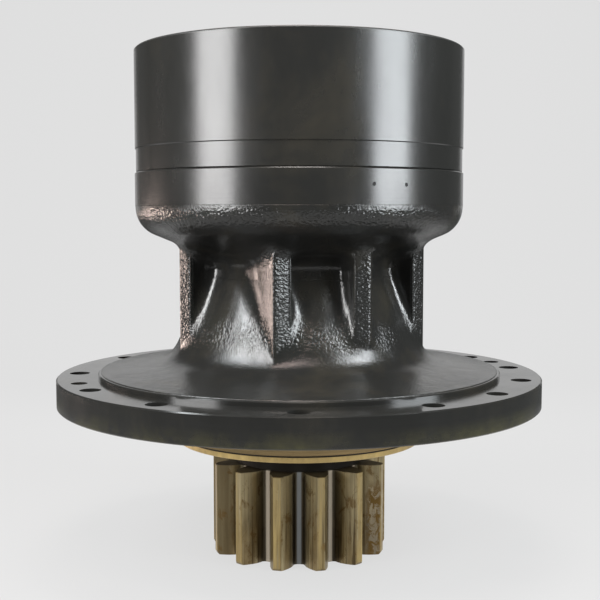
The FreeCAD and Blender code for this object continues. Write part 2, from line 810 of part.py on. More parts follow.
def make_seal_end():
    cover = turned_body("seal_cover", [
        ("seal_radius + seat_gap", "-spigot_depth - cover_height + 3"),
        ("seal_journal_radius + 6", "-spigot_depth - cover_height + 3"),
        ("seal_journal_radius + 6", "-spigot_depth - cover_height"),
        ("spigot_radius - cover_inset - 0.6", "-spigot_depth - cover_height"),
        ("spigot_radius - cover_inset", "-spigot_depth - cover_height + 0.6"),
        ("spigot_radius - cover_inset", "-spigot_depth - 0.05 - cover_line"),
        ("spigot_radius - 2", "-spigot_depth - 0.05 - cover_line"),
        ("spigot_radius - 2", "-spigot_depth - 0.05"),
        ("cover_hub_radius", "-spigot_depth - 0.05"),
        ("cover_hub_radius", "lower_bearing_low - 0.1"),
        ("seal_radius + seat_gap", "lower_bearing_low - 0.1"),
    ])
    doc.recompute()
    circle, below = "cover_screw_circle", "-spigot_depth - cover_height - 1"
    drill(cover, "cover_holes", circle, every("6"), "cover_screw_radius + 0.5", below, "cover_height + 2")
    drill(cover, "cover_head_rooms", circle, every("6"), "cover_head_radius + 0.5", below,
          "cover_head_height + 1.25")
    low = -size("spigot_depth + cover_height")
    screws = []
    for i in range(6):
        at = polar(size("cover_screw_circle"), math.radians(-90 + 60 * i))
        seat = low + 0.2 + size("cover_head_height")
        head = rod(size("cover_head_radius"), low + 0.2, seat, at.x, at.y)
        key = prism(hexagon(size("cover_key_radius"), at.x, at.y), low, low + 2)
        shank = rod(size("cover_screw_radius"), seat, size("cover_screw_reach - spigot_depth"), at.x, at.y)
        screws.append(shank.fuse(head).cut(key).removeSplitter())
    placed_part("cover_screws", Part.makeCompound(screws))
    turned_body("oil_seal", [
        ("seal_journal_radius + run_gap", "lower_bearing_low - 9"),
        ("seal_journal_radius + 3", "lower_bearing_low - 13"),
        ("seal_journal_radius + 3", "-spigot_depth - cover_height + 3.1"),
        ("seal_radius", "-spigot_depth - cover_height + 3.1"),
        ("seal_radius", "lower_bearing_low - 4"),
        ("seal_radius - 2", "lower_bearing_low - 4"),
        ("seal_radius - 2", "lower_bearing_low - 9"),
    ])


# Stage 2, on the output shaft


def make_carrier_2():
    face = "carrier_2_face"
    top = "(carrier_2_face + 4 * face_gap + 2 * washer_thickness + planet_2_width)"
    body = turned_body("carrier_2", [
        ("spline_radius + run_gap", "carrier_2_low"),
        ("upper_journal_radius + 18", "carrier_2_low"),
        ("carrier_2_radius - 6", "carrier_2_low + 8"),
        ("carrier_2_radius", "carrier_2_low + 14"),
        ("carrier_2_radius", top + " + carrier_2_top_plate"),
        ("sun_2_teeth * gear_module / 2 + gear_module + 4", top + " + carrier_2_top_plate"),
        ("sun_2_teeth * gear_module / 2 + gear_module + 4", "carrier_2_face"),
        ("spline_radius + run_gap", "carrier_2_face"),
    ])
    doc.recompute()
    distance = "(sun_2_teeth + planet_2_teeth) * gear_module / 2"
    around = every("3", "180")
    drill(body, "planet_rooms", distance, around, "planet_2_teeth * gear_module / 2 + gear_module + 3",
          face, top + " - " + face)
    drill(body, "pin_holes", distance, around, "pin_2_radius + seat_gap",
          "carrier_2_low + pin_2_floor", "120")
    return body


def centre_distance(stage):
    return size("(sun_%d_teeth + planet_%d_teeth) * gear_module / 2" % (stage, stage))


def make_planets(stage, low):
    teeth = round(size("planet_%d_teeth" % stage))
    width = size("planet_%d_width" % stage)
    pin = size("pin_%d_radius + run_gap" % stage)
    for name, at in zip("abc", planet_places(centre_distance(stage))):
        facing = math.atan2(at.y, at.x)
        gear = train_gear(teeth, low, low + width, facing).cut(rod(pin, low - 1, low + width + 1))
        placed_part("planet_%d_%s" % (stage, name), gear, at)


def make_washers(stage, heights):
    rings = []
    thick, outer = size("washer_thickness"), size("washer_radius")
    inner = size("pin_%d_radius + run_gap" % stage)
    for at in planet_places(centre_distance(stage)):
        for low in heights:
            rings.append(tube(inner, outer, low, low + thick, at.x, at.y))
    placed_part("stage_%d_washers" % stage, Part.makeCompound(rings))


def make_stage_2():
    make_carrier_2()
    face = size("carrier_2_face")
    gap, thick, width = size("face_gap"), size("washer_thickness"), size("planet_2_width")
    first = face + gap / 2
    planets = face + thick + 2 * gap
    second = planets + width + gap
    make_planets(2, planets)
    make_washers(2, [first, second])
    low = size("carrier_2_low + pin_2_floor") + 0.1
    high = face + 4 * gap + 2 * thick + width + size("carrier_2_top_plate") - 0.5
    pins = [rod(size("pin_2_radius"), low, high, at.x, at.y) for at in planet_places(centre_distance(2))]
    placed_part("stage_2_pins", Part.makeCompound(pins))


def sun_2_top():
    return size("carrier_1_low + carrier_1_plate") - 1


def make_suns():
    low = size("carrier_2_face") + 0.3
    start = FIRST_PLANET + math.pi / size("sun_2_teeth")
    sun_2 = train_gear(round(size("sun_2_teeth")), low, sun_2_top(), start)
    seat = sun_2_top()
    recess = rod(size("sun_2_recess_radius"), low - 1, seat - size("sun_2_recess_depth"))
    placed_part("sun_2", sun_2.cut(recess))
    button_top = seat + size("button_thickness")
    button = tube(size("button_bore"), size("button_radius"), seat + size("seat_gap"), button_top)
    placed_part("thrust_button", button)
    bottom = button_top + 0.2
    high = size("top_height - register_depth")
    sun_1 = train_gear(round(size("sun_1_teeth")), bottom, high, FIRST_PLANET)
    bore = prism(notched_outline(round(size("input_spline_teeth")), size("input_bore_radius"),
                                 size("input_spline_depth")), bottom - 1, high + 1)
    placed_part("sun_1", sun_1.cut(bore))


def make_stage_1():
    low = size("carrier_1_low")
    face = low + size("carrier_1_plate")
    places = planet_places(centre_distance(1))
    plate = turned([(0, low), (size("carrier_1_radius") - 2, low), (size("carrier_1_radius"), low + 2),
                    (size("carrier_1_radius"), face), (0, face)])
    hub_teeth = round(size("sun_2_teeth"))
    start = FIRST_PLANET + math.pi / hub_teeth
    splined = ring_space(hub_teeth, low - 1, face + 1, start, 1.1, 0.05)
    inner = splined.fuse(rod(hub_teeth * MODULE / 2 - MODULE - 1.1, low - 1, face + 1))
    holes = [rod(size("pin_1_radius + seat_gap"), low - 1, face + 1, at.x, at.y) for at in places]
    scoops = []
    for i in range(3):
        reach = size("carrier_1_radius + carrier_1_scoop_offset")
        at = polar(reach, FIRST_PLANET + math.pi * (2 * i + 1) / 3)
        scoops.append(rod(size("carrier_1_scoop"), low - 1, face + 1, at.x, at.y))
    placed_part("carrier_1", plate.cut(Part.makeCompound([inner] + holes + scoops)))
    gap, thick, width = size("face_gap"), size("washer_thickness"), size("planet_1_width")
    planets = face + thick + 2 * gap
    second = planets + width + gap
    make_planets(1, planets)
    make_washers(1, [face + gap / 2, second])
    ring_low = second + thick + 0.1
    pin, groove_depth = size("pin_1_radius"), size("clip_groove_depth")
    clip_thick, clip_outer = size("clip_thickness"), size("pin_1_radius + clip_rise")
    opening = size("clip_opening")
    pins, clips = [], []
    for at in places:
        groove_low, groove_high = ring_low - 0.05, ring_low + clip_thick + 0.05
        groove = tube(pin - groove_depth, pin + 1, groove_low, groove_high, at.x, at.y)
        pins.append(rod(pin, low + 0.2, ring_low + 2 * clip_thick, at.x, at.y).cut(groove))
        clip = tube(pin - groove_depth + 0.05, clip_outer, ring_low, ring_low + clip_thick, at.x, at.y)
        facing = at.normalize() * (centre_distance(1) - pin)
        corner = FreeCAD.Vector(facing.x - opening / 2, facing.y - opening / 2, ring_low - 1)
        gap_box = Part.makeBox(opening, opening, clip_thick + 2, corner)
        clips.append(clip.cut(gap_box))
    placed_part("stage_1_pins", Part.makeCompound(pins))
    placed_part("snap_rings", Part.makeCompound(clips))


def export_parts():
    doc.recompute()
    for part in doc.Objects:
        bad = [word for word in part.State if word in ("Invalid", "Error")]
        if bad:
            raise RuntimeError("%s did not recompute: %s" % (part.Label, bad))
    bodies = [o for o in doc.Objects if o.TypeId == "PartDesign::Body"]
    shapes = [o for o in doc.Objects if o.TypeId == "Part::Feature"]
    for part in bodies + shapes:
        if part.Shape.isNull() or not part.Shape.isValid() or not part.Shape.Solids:
            raise RuntimeError(part.Label + " has no valid solid")
    for part in bodies + shapes:
        part.Shape.exportStep("parts/%s.step" % part.Label)
        print(part.Label, len(part.Shape.Solids), "solids, volume", round(part.Shape.Volume))


make_casing()
make_ring_gear()
make_ring_fasteners()
make_bearing("lower")
make_bearing("upper")
make_pinion_shaft()
make_shaft_pieces()
make_seal_end()
make_stage_2()
make_suns()
make_stage_1()
export_parts()
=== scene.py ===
import json
import math

import bpy
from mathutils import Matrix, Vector


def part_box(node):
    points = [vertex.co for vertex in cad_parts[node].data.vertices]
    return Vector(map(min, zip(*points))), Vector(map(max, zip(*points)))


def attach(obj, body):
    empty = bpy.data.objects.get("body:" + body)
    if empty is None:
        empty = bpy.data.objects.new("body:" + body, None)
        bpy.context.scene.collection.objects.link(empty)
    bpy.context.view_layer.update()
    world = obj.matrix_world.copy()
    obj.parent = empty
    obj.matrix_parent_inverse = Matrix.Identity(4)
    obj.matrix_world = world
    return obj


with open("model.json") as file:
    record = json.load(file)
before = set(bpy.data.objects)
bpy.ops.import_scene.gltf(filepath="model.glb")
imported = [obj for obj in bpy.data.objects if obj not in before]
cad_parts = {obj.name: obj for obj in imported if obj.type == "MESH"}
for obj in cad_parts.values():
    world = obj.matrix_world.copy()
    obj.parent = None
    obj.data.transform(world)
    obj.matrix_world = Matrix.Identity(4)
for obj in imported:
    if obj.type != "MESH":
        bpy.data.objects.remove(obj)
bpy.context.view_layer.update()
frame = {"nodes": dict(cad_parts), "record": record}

bl_info = {
    "name": "Swing gearbox",
    "version": (1, 0, 0),
    "blender": (4, 5, 0),
    "location": "View3D > Sidebar > Swing gearbox",
    "description": "Dresses the swing gearbox and sets up its studio",
    "category": "Object",
}

RING_LOW, RING_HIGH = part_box("ring_gear")
SHAFT_LOW, SHAFT_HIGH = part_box("pinion_shaft")

PAD_FOOT = 0.0249
PAD_RADIUS = 0.1768
BAND_LOW = 0.1725
TOP_HEIGHT = RING_HIGH.z
FLOOR_HEIGHT = SHAFT_LOW.z

# Cast surface: its foot and top before it is trimmed, and the thinning towards the band
SKIN_FOOT = PAD_FOOT - 0.012
SKIN_TOP = BAND_LOW + 0.010
FILLET_GRID = 0.0024
THINNING_START = 0.150
THINNING_LENGTH = 0.018
THINNING_SHARE = 0.75

# Radius, foot and top of each drum that fills the bores and the cavity of the casing
CORE_DRUMS = (
    (0.083, SKIN_FOOT, 0.032),
    (0.066, SKIN_FOOT, 0.130),
    (0.073, 0.122, SKIN_TOP),
    (0.1225, 0.159, SKIN_TOP),
)

# Azimuth in degrees and height of each punch mark
MARK_PLACES = ((23.6, 0.1884), (35.5, 0.1880))
BAND_RADIUS = 0.1435
MARK_RADIUS = 0.0014
MARK_STAND = 0.00006

# Heights and radii over which one kind of painted surface gives way to the next
BELOW_RIM = (TOP_HEIGHT - 0.0018, TOP_HEIGHT - 0.0008)
FOOT_TOP = (0.052, 0.062)
NECK_TOP = (0.136, 0.142)
BOWL_START = (0.152, 0.160)
BOWL_END = (0.1680, 0.1718)
RIB_START = (0.094, 0.101)
CONE_END = (0.094, 0.100)
LEDGE_END = (0.088, 0.092)
PAD_START = (0.112, 0.125)
FLANGE_MIDDLE = (0.03, 0.04)
RIM_STAIN = (0.002, 0.014)

# The same for the oiled steel, as the pinion stands at rest
LIT_FLANKS = (-0.105, -0.065)
SHADED_LEFT_TOOTH = (-0.062, -0.056)
RIGHT_TOOTH = (0.056, 0.062)
SPLASH_TOP = (-0.076, -0.066)
TIP_START = (0.0768, 0.0778)
ROOT_SHADE = (0.0580, 0.0660)
ROOT_FLOOR = (0.0574, 0.0578)
SIDE_GAPS = (0.010, 0.016)
GAP_EDGE = (0.05, 0.09)

BARE_RADIUS = 0.1212
SEAL_LINE = -0.0274
# Near-black colour for painted shade: the gap line on the seal cover, the teeth's roots, and, with real
# dirt, the shaft collar under the cover
SHADE_AND_DIRT = (0.012, 0.010, 0.008)
PINION_TOP = -0.053
PINION_TEETH = 13
PINION_PHASE = 0.75
LEDGE = 0.1112
SWEEP_FRONT = -2.6
SWEEP_BEND = 0.9
SWEEP_ROUND = 1.0
SWEEP_HEIGHT = 2.6
SWEEP_STEPS = 24
SWEEP_WIDTH = 5.2
FLOOR_GAP = 0.0004

# What the gloss of the object sees of the room and of the studio paper
ROOM_LIGHT = (0.70, 0.70, 0.70, 1.0)
ROOM_IN_GLOSS = (0.034, 0.036, 0.034, 1.0)
FAR_FLOOR = (0.66, 0.84)
LOW_WALL = (FLOOR_HEIGHT + 0.16, FLOOR_HEIGHT + 0.30)
WALL_SIDES = (1.0, 1.1)

# Name, place, aim, width, height, power and colour of each light panel
PANELS = (
    ("left_panel", (-1.03, -0.74, 0.70), (0, 0, 0.70), 0.58, 1.20, 35.0, (1, 1, 1)),
    ("right_panel", (1.10, -0.60, 0.70), (0, 0, 0.70), 0.58, 1.20, 36.0, (0.92, 0.97, 1.0)),
    ("left_high_panel", (-0.81, -0.35, 0.96), (0, 0, 0.08), 0.34, 0.50, 9.0, (0.93, 0.98, 1.0)),
    ("right_high_panel", (0.79, -0.40, 0.96), (0, 0, 0.08), 0.23, 0.40, 6.2, (0.93, 0.98, 1.0)),
    ("front_high_panel", (-0.15, -0.75, 1.25), (0, -0.10, 0.05), 0.50, 0.15, 5.5, (1.0, 0.82, 0.76)),
    ("warm_panel", (-1.17, 0.57, 0.0), (0, 0, 0.0), 0.54, 0.22, 5.8, (1.0, 0.79, 0.70)),
    ("top_panel", (0.0, -0.05, 1.6), (0, -0.05, 0), 0.50, 0.50, 16.0, (1.0, 0.94, 0.90)),
)
GLOSS_ONLY_PANEL = "warm_panel"
CAMERA_ASIDE = 0.0008


def settings():
    return bpy.context.scene.swing_gearbox


class PaintSettings(bpy.types.PropertyGroup):
    colour: bpy.props.FloatVectorProperty(
        name="Paint colour", description="Black paint of the casing and the ring gear",
        subtype="COLOR", size=3, min=0.0, max=1.0, default=(0.0112, 0.0112, 0.0104))
    dust_colour: bpy.props.FloatVectorProperty(
        name="Dust", description="Faint brown film on the paint",
        subtype="COLOR", size=3, min=0.0, max=1.0, default=(0.026, 0.023, 0.017))
    stain_colour: bpy.props.FloatVectorProperty(
        name="Rim stain", description="Thin dried oil along the flange's lower edge",
        subtype="COLOR", size=3, min=0.0, max=1.0, default=(0.034, 0.032, 0.016))
    turned_roughness: bpy.props.FloatProperty(
        name="Roughness where turned", description="Gloss of the paint on turned faces",
        subtype="FACTOR", min=0.0, max=1.0, default=0.22)
    cast_roughness: bpy.props.FloatProperty(
        name="Roughness where cast", description="Gloss of the paint on cast faces",
        subtype="FACTOR", min=0.0, max=1.0, default=0.18)
    grain_height: bpy.props.FloatProperty(
        name="Cast grain height", description="Depth of the grain of the casting under the paint",
        subtype="DISTANCE", unit="LENGTH", default=0.0004)


class CastSettings(bpy.types.PropertyGroup):
    skin_thickness: bpy.props.FloatProperty(
        name="Skin thickness", description="How far the cast surface stands over the plain solid",
        subtype="DISTANCE", unit="LENGTH", default=0.0005)
    grid: bpy.props.FloatProperty(
        name="Surface grid", description="Spacing of the cast surface's faces",
        subtype="DISTANCE", unit="LENGTH", default=0.0018)
    fillet_passes: bpy.props.IntProperty(
        name="Fillet passes", description="Smoothing that fills the corners between ribs and neck",
        default=80)
    fillet_build: bpy.props.FloatProperty(
        name="Fillet build", description="Metal added before that smoothing and taken off after it",
        subtype="DISTANCE", unit="LENGTH", default=0.003)
    edge_passes: bpy.props.IntProperty(
        name="Edge passes", description="Smoothing that rounds the ribs' edges", default=3)
    pad_inset: bpy.props.FloatProperty(
        name="Pad inset", description="From the pad's edge to the edge of the cast surface on it",
        subtype="DISTANCE", unit="LENGTH", default=0.0022)


class OilSettings(bpy.types.PropertyGroup):
    spigot_colour: bpy.props.FloatVectorProperty(
        name="Oiled spigot", description="Turned steel under brown oil", subtype="COLOR",
        size=3, min=0.0, max=1.0, default=(0.33, 0.235, 0.11))
    cover_colour: bpy.props.FloatVectorProperty(
        name="Oiled cover", description="Golden oil on the seal cover", subtype="COLOR",
        size=3, min=0.0, max=1.0, default=(0.55, 0.40, 0.16))
    pinion_colour: bpy.props.FloatVectorProperty(
        name="Pinion steel", description="Steel of the teeth under a film of brown oil",
        subtype="COLOR", size=3, min=0.0, max=1.0, default=(0.235, 0.172, 0.080))
    # Pale streaks, and also used as painted light on the teeth's upper part
    streak_and_light_colour: bpy.props.FloatVectorProperty(
        name="Streaks", description="Pale upright streaks on the teeth", subtype="COLOR",
        size=3, min=0.0, max=1.0, default=(0.34, 0.285, 0.165))
    # Golden film that is also a painted highlight on the tooth tips
    tip_film_and_highlight_colour: bpy.props.FloatVectorProperty(
        name="Tooth tips", description="Golden film on the tips of the teeth", subtype="COLOR",
        size=3, min=0.0, max=1.0, default=(0.37, 0.275, 0.115))
    # Grey steel that is also a painted reflection strip along each gap
    root_steel_and_reflection_colour: bpy.props.FloatVectorProperty(
        name="Tooth roots", description="Clean grey steel between the teeth", subtype="COLOR",
        size=3, min=0.0, max=1.0, default=(0.22, 0.23, 0.235))
    dried_colour: bpy.props.FloatVectorProperty(
        name="Dried film", description="Pale film around the splashes of one tooth", subtype="COLOR",
        size=3, min=0.0, max=1.0, default=(0.30, 0.265, 0.20))
    splash_colour: bpy.props.FloatVectorProperty(
        name="Splashes", description="Brown splashes on one tooth", subtype="COLOR",
        size=3, min=0.0, max=1.0, default=(0.11, 0.062, 0.012))
    # Painted highlight along the gaps between the teeth at the sides
    side_gap_highlight_colour: bpy.props.FloatVectorProperty(
        name="Side roots", description="Pale film between the teeth at the sides", subtype="COLOR",
        size=3, min=0.0, max=1.0, default=(0.42, 0.36, 0.28))
    stain_colour: bpy.props.FloatVectorProperty(
        name="Stain", description="Brown stains on the spigot and the teeth", subtype="COLOR",
        size=3, min=0.0, max=1.0, default=(0.10, 0.055, 0.012))


class StudioSettings(bpy.types.PropertyGroup):
    camera_distance: bpy.props.FloatProperty(
        name="Camera distance", description="From the axis to the camera", subtype="DISTANCE",
        unit="LENGTH", default=0.9488)
    camera_height: bpy.props.FloatProperty(
        name="Camera height", description="Above the seating face", subtype="DISTANCE",
        unit="LENGTH", default=0.1658)
    camera_pitch: bpy.props.FloatProperty(
        name="Camera pitch", description="Downward tilt of the camera", subtype="ANGLE",
        default=math.radians(4.632))
    focal_length: bpy.props.FloatProperty(
        name="Focal length", description="In millimetres on a 36 mm wide image", default=64.06)
    backdrop_colour: bpy.props.FloatVectorProperty(
        name="Backdrop", description="Pale grey floor and wall", subtype="COLOR", size=3,
        min=0.0, max=1.0, default=(0.06, 0.06, 0.06))
    backdrop_glow: bpy.props.FloatProperty(
        name="Backdrop glow", description="Light that the backdrop gives off", default=0.645)


class GearboxSettings(bpy.types.PropertyGroup):
    paint: bpy.props.PointerProperty(
        type=PaintSettings, name="Paint", description="Colours and grain of the paint")
    cast: bpy.props.PointerProperty(
        type=CastSettings, name="Cast surface", description="Sizes of the cast surface")
    oil: bpy.props.PointerProperty(
        type=OilSettings, name="Oil", description="Colours of the oiled steel")
    studio: bpy.props.PointerProperty(
        type=StudioSettings, name="Studio", description="Camera and backdrop")


# Materials


class Nodes:
    """Short words for building a material's node tree."""

    def __init__(self, name):
        self.material = bpy.data.materials.new(name)
        self.material.use_nodes = True
        self.tree = self.material.node_tree
        self.shader = self.tree.nodes["Principled BSDF"]
        self.place = self.add("ShaderNodeTexCoord").outputs["Object"]

    def add(self, kind, **values):
        node = self.tree.nodes.new(kind)
        for key, value in values.items():
            setattr(node, key, value)
        return node

    def link(self, source, target):
        self.tree.links.new(source, target)

    def noise(self, scale, detail=4.0, roughness=0.5, stretch=(1, 1, 1), distortion=0.0):
        mapping = self.add("ShaderNodeMapping")
        mapping.inputs["Scale"].default_value = stretch
        noise = self.add("ShaderNodeTexNoise")
        noise.inputs["Scale"].default_value = scale
        noise.inputs["Detail"].default_value = detail
        noise.inputs["Roughness"].default_value = roughness
        noise.inputs["Distortion"].default_value = distortion
        self.link(self.place, mapping.inputs["Vector"])
        self.link(mapping.outputs["Vector"], noise.inputs["Vector"])
        return noise.outputs["Fac"]

    def ramp(self, source, low, high, from_value=0.0, to_value=1.0):
        """A value that goes from one to another as the source goes from low to high."""
        span = self.add("ShaderNodeMapRange")
        span.inputs["From Min"].default_value = low
        span.inputs["From Max"].default_value = high
        span.inputs["To Min"].default_value = from_value
        span.inputs["To Max"].default_value = to_value
        self.link(source, span.inputs["Value"])
        return span.outputs["Result"]

    def math(self, operation, first, second):
        node = self.add("ShaderNodeMath", operation=operation)
        for socket, value in zip(node.inputs, (first, second)):
            if isinstance(value, (int, float)):
                socket.default_value = value
            else:
                self.link(value, socket)
        return node.outputs[0]

    def times(self, first, second):
        return self.math("MULTIPLY", first, second)

    def plus(self, first, second):
        return self.math("ADD", first, second)

    def minus(self, first, second):
        return self.math("SUBTRACT", first, second)

    def blend(self, share, first, second):
        mix = self.add("ShaderNodeMix", data_type="RGBA")
        colour_a, colour_b = mix.inputs[6], mix.inputs[7]
        for socket, value in ((colour_a, first), (colour_b, second)):
            if isinstance(value, tuple):
                socket.default_value = (*value[:3], 1.0)
            else:
                self.link(value, socket)
        self.link(share, mix.inputs["Factor"])
        return mix.outputs[2]

    def bump(self, height, distance, strength=1.0, under=None):
        bump = self.add("ShaderNodeBump")
        bump.inputs["Strength"].default_value = strength
        bump.inputs["Distance"].default_value = distance
        self.link(height, bump.inputs["Height"])
        if under is not None:
            self.link(under, bump.inputs["Normal"])
        return bump.outputs["Normal"]

    def level_place(self):
        """The place on the surface with its height left out."""
        flat = self.add("ShaderNodeVectorMath", operation="MULTIPLY")
        flat.inputs[1].default_value = (1, 1, 0)
        self.link(self.place, flat.inputs[0])
        return flat.outputs["Vector"]

    def radius(self):
        flat = self.level_place()
        length = self.add("ShaderNodeVectorMath", operation="LENGTH")
        self.link(flat, length.inputs[0])
        return length.outputs["Value"]

    def along(self, axis):
        split = self.add("ShaderNodeSeparateXYZ")
        self.link(self.place, split.inputs["Vector"])
        return split.outputs[axis]

    def height(self):
        return self.along("Z")

    def outwardness(self):
        """One where the surface faces away from the axis, nought where it faces along it."""
        flat = self.level_place()
        outward = self.add("ShaderNodeVectorMath", operation="NORMALIZE")
        self.link(flat, outward.inputs[0])
        product = self.add("ShaderNodeVectorMath", operation="DOT_PRODUCT")
        self.link(outward.outputs["Vector"], product.inputs[0])
        self.link(self.add("ShaderNodeTexCoord").outputs["Normal"], product.inputs[1])
        return product.outputs["Value"]


def tone(colour, share=1.0):
    """A colour of the settings, darkened to a share."""
    return tuple(part * share for part in colour)


def paint_base(nodes, roughness, blotch_scale):
    """Black paint with faint brown blotches and uneven gloss."""
    paint = settings().paint
    blotches = nodes.noise(blotch_scale, 6.0, 0.65, (1, 1, 0.6), 0.4)
    dusty = nodes.ramp(blotches, 0.50, 0.72, 0.0, 0.6)
    colour = nodes.blend(dusty, tone(paint.colour), tone(paint.dust_colour))
    smudges = nodes.noise(blotch_scale * 1.7, 6.0, 0.7, (1, 1, 0.35))
    gloss = nodes.ramp(smudges, 0.3, 0.7, roughness - 0.04, roughness + 0.07)
    return colour, gloss


def ring_finish():
    """Black paint outside and bare oiled steel on the teeth and the motor's register."""
    nodes = Nodes("ring_finish")
    shader = nodes.shader
    inside = nodes.ramp(nodes.radius(), BARE_RADIUS - 0.0002, BARE_RADIUS + 0.0002, 1.0, 0.0)
    colour, gloss = paint_base(nodes, settings().paint.turned_roughness, 11.0)
    film = nodes.noise(45.0, 5.0, 0.6)
    steel = nodes.blend(nodes.ramp(film, 0.4, 0.7), (0.40, 0.39, 0.37), (0.27, 0.25, 0.21))
    nodes.link(nodes.blend(inside, colour, steel), shader.inputs["Base Color"])
    nodes.link(inside, shader.inputs["Metallic"])
    rim = nodes.ramp(nodes.height(), *BELOW_RIM, 0.0, 0.25)
    gloss = nodes.plus(gloss, rim)
    nodes.link(nodes.plus(gloss, nodes.times(inside, 0.08)), shader.inputs["Roughness"])
    nodes.link(turned_surface(nodes), shader.inputs["Normal"])
    return nodes.material


def turned_surface(nodes):
    """Faint rings left by turning under the paint, and the paint's own peel."""
    turning = nodes.noise(140.0, 2.0, 0.5, (0.02, 0.02, 6.0))
    peel = nodes.noise(420.0, 2.0, 0.5)
    scratches = nodes.noise(55.0, 8.0, 0.75, (0.3, 0.3, 5.0), 0.5)
    under = nodes.bump(turning, 0.0001, 0.20)
    under = nodes.bump(scratches, 0.0002, 0.16, under)
    return nodes.bump(peel, 0.0001, 0.14, under)


def cast_paint():
    """Paint over cast skin: fine grain, coarser on ribs and bowl, and a parting ledge on the cone."""
    paint = settings().paint
    nodes = Nodes("cast_paint")
    colour, gloss = paint_base(nodes, paint.cast_roughness, 24.0)
    nodes.link(colour, nodes.shader.inputs["Base Color"])
    nodes.link(gloss, nodes.shader.inputs["Roughness"])
    height, radius = nodes.height(), nodes.radius()
    coarse = nodes.noise(80.0, 2.0, 0.5)
    fine = nodes.noise(820.0, 2.0, 0.5)
    beads = nodes.noise(440.0, 1.0, 0.5)
    pebbles = nodes.noise(410.0, 1.0, 0.5)
    above_foot = nodes.ramp(height, *FOOT_TOP)
    below_bowl = nodes.ramp(height, *NECK_TOP, 1.0, 0.0)
    on_rib = nodes.times(nodes.ramp(radius, *RIB_START), nodes.times(above_foot, below_bowl))
    on_rib = nodes.times(on_rib, nodes.ramp(nodes.outwardness(), 0.66, 0.78, 0.28, 1.0))
    on_bowl = nodes.times(nodes.ramp(height, *BOWL_START), nodes.ramp(height, *BOWL_END, 1.0, 0.0))
    on_cone = nodes.times(nodes.ramp(radius, *CONE_END, 1.0, 0.0), above_foot)
    skin = nodes.times(fine, nodes.minus(0.62, nodes.times(on_cone, 0.22)))
    skin = nodes.plus(skin, nodes.times(nodes.times(on_bowl, 2.2), beads))
    grain = nodes.plus(skin, nodes.times(nodes.times(on_rib, 1.6), pebbles))
    wave = nodes.ramp(nodes.noise(26.0, 2.0, 0.5), 0.0, 1.0, -0.0016, 0.0016)
    ledge_height = nodes.plus(height, wave)
    ledge = nodes.times(nodes.ramp(ledge_height, LEDGE - 0.0003, LEDGE + 0.0003),
                       nodes.ramp(radius, *LEDGE_END, 1.0, 0.0))
    on_pad = nodes.plus(nodes.ramp(radius, *PAD_START, 0.0, 1.4), 1.0)
    under = nodes.bump(nodes.times(coarse, on_pad), paint.grain_height * 2.0, 0.25)
    under = nodes.bump(ledge, 0.0007, 1.0, under)
    nodes.link(nodes.bump(grain, paint.grain_height, 1.0, under), nodes.shader.inputs["Normal"])
    return nodes.material


def steel_under_oil(nodes):
    """Colour of turned steel under brown oil, in rings."""
    oil = settings().oil
    rings = nodes.noise(30.0, 5.0, 0.65, (0.25, 0.25, 9.0))
    dirt_and_shade = nodes.noise(40.0, 6.0, 0.7)
    tan = nodes.blend(nodes.ramp(rings, 0.35, 0.65), tone(oil.spigot_colour),
                      tone(oil.spigot_colour, 0.5))
    return nodes.blend(nodes.ramp(dirt_and_shade, 0.56, 0.66, 0.0, 0.85), tan, tone(oil.stain_colour))


def casing_finish():
    """Paint above the seating face, bare oiled steel on the spigot below it."""
    nodes = Nodes("casing_finish")
    shader = nodes.shader
    below = nodes.ramp(nodes.height(), -0.0004, 0.0004, 1.0, 0.0)
    colour, gloss = paint_base(nodes, settings().paint.turned_roughness, 11.0)
    gloss = nodes.minus(gloss, nodes.ramp(nodes.height(), *FLANGE_MIDDLE, 0.09, 0.0))
    low = nodes.times(nodes.ramp(nodes.height(), *RIM_STAIN, 1.0, 0.0),
                     nodes.ramp(nodes.noise(16.0, 6.0, 0.7), 0.45, 0.65, 0.0, 0.8))
    colour = nodes.blend(low, colour, tone(settings().paint.stain_colour))
    nodes.link(nodes.blend(below, colour, steel_under_oil(nodes)), shader.inputs["Base Color"])
    nodes.link(nodes.ramp(below, 0.0, 1.0, 0.0, 0.7), shader.inputs["Metallic"])
    nodes.link(nodes.plus(gloss, nodes.ramp(below, 0.0, 1.0, 0.0, 0.08)), shader.inputs["Roughness"])
    nodes.link(turned_surface(nodes), shader.inputs["Normal"])
    return nodes.material


def oiled_steel():
    """Golden oil on the seal cover, with painted shade in the line where it meets the spigot."""
    nodes = Nodes("oiled_steel")
    streaks = nodes.noise(110.0, 5.0, 0.7, (1, 1, 0.6))
    golden = nodes.blend(nodes.ramp(streaks, 0.35, 0.68, 0.0, 0.5),
                         tone(settings().oil.cover_colour), steel_under_oil(nodes))
    # Painted shade: a near-black band along the cover's top, in the gap below the spigot
    dirt_and_shade = nodes.ramp(nodes.height(), SEAL_LINE - 0.0019, SEAL_LINE - 0.0013)
    nodes.link(nodes.blend(dirt_and_shade, golden, SHADE_AND_DIRT), nodes.shader.inputs["Base Color"])
    nodes.shader.inputs["Metallic"].default_value = 0.7
    nodes.shader.inputs["Roughness"].default_value = 0.34
    nodes.link(turned_surface(nodes), nodes.shader.inputs["Normal"])
    return nodes.material


def tooth_gap_middle(nodes):
    """One along the middle of each gap between two teeth, nought elsewhere."""
    turn = nodes.math("ARCTAN2", nodes.along("Y"), nodes.along("X"))
    teeth = nodes.times(turn, PINION_TEETH / (2 * math.pi))
    share = nodes.math("FRACT", nodes.plus(teeth, PINION_PHASE), 0.0)
    off_middle = nodes.math("ABSOLUTE", nodes.minus(share, 0.5), 0.0)
    return nodes.ramp(off_middle, *GAP_EDGE, 1.0, 0.0)


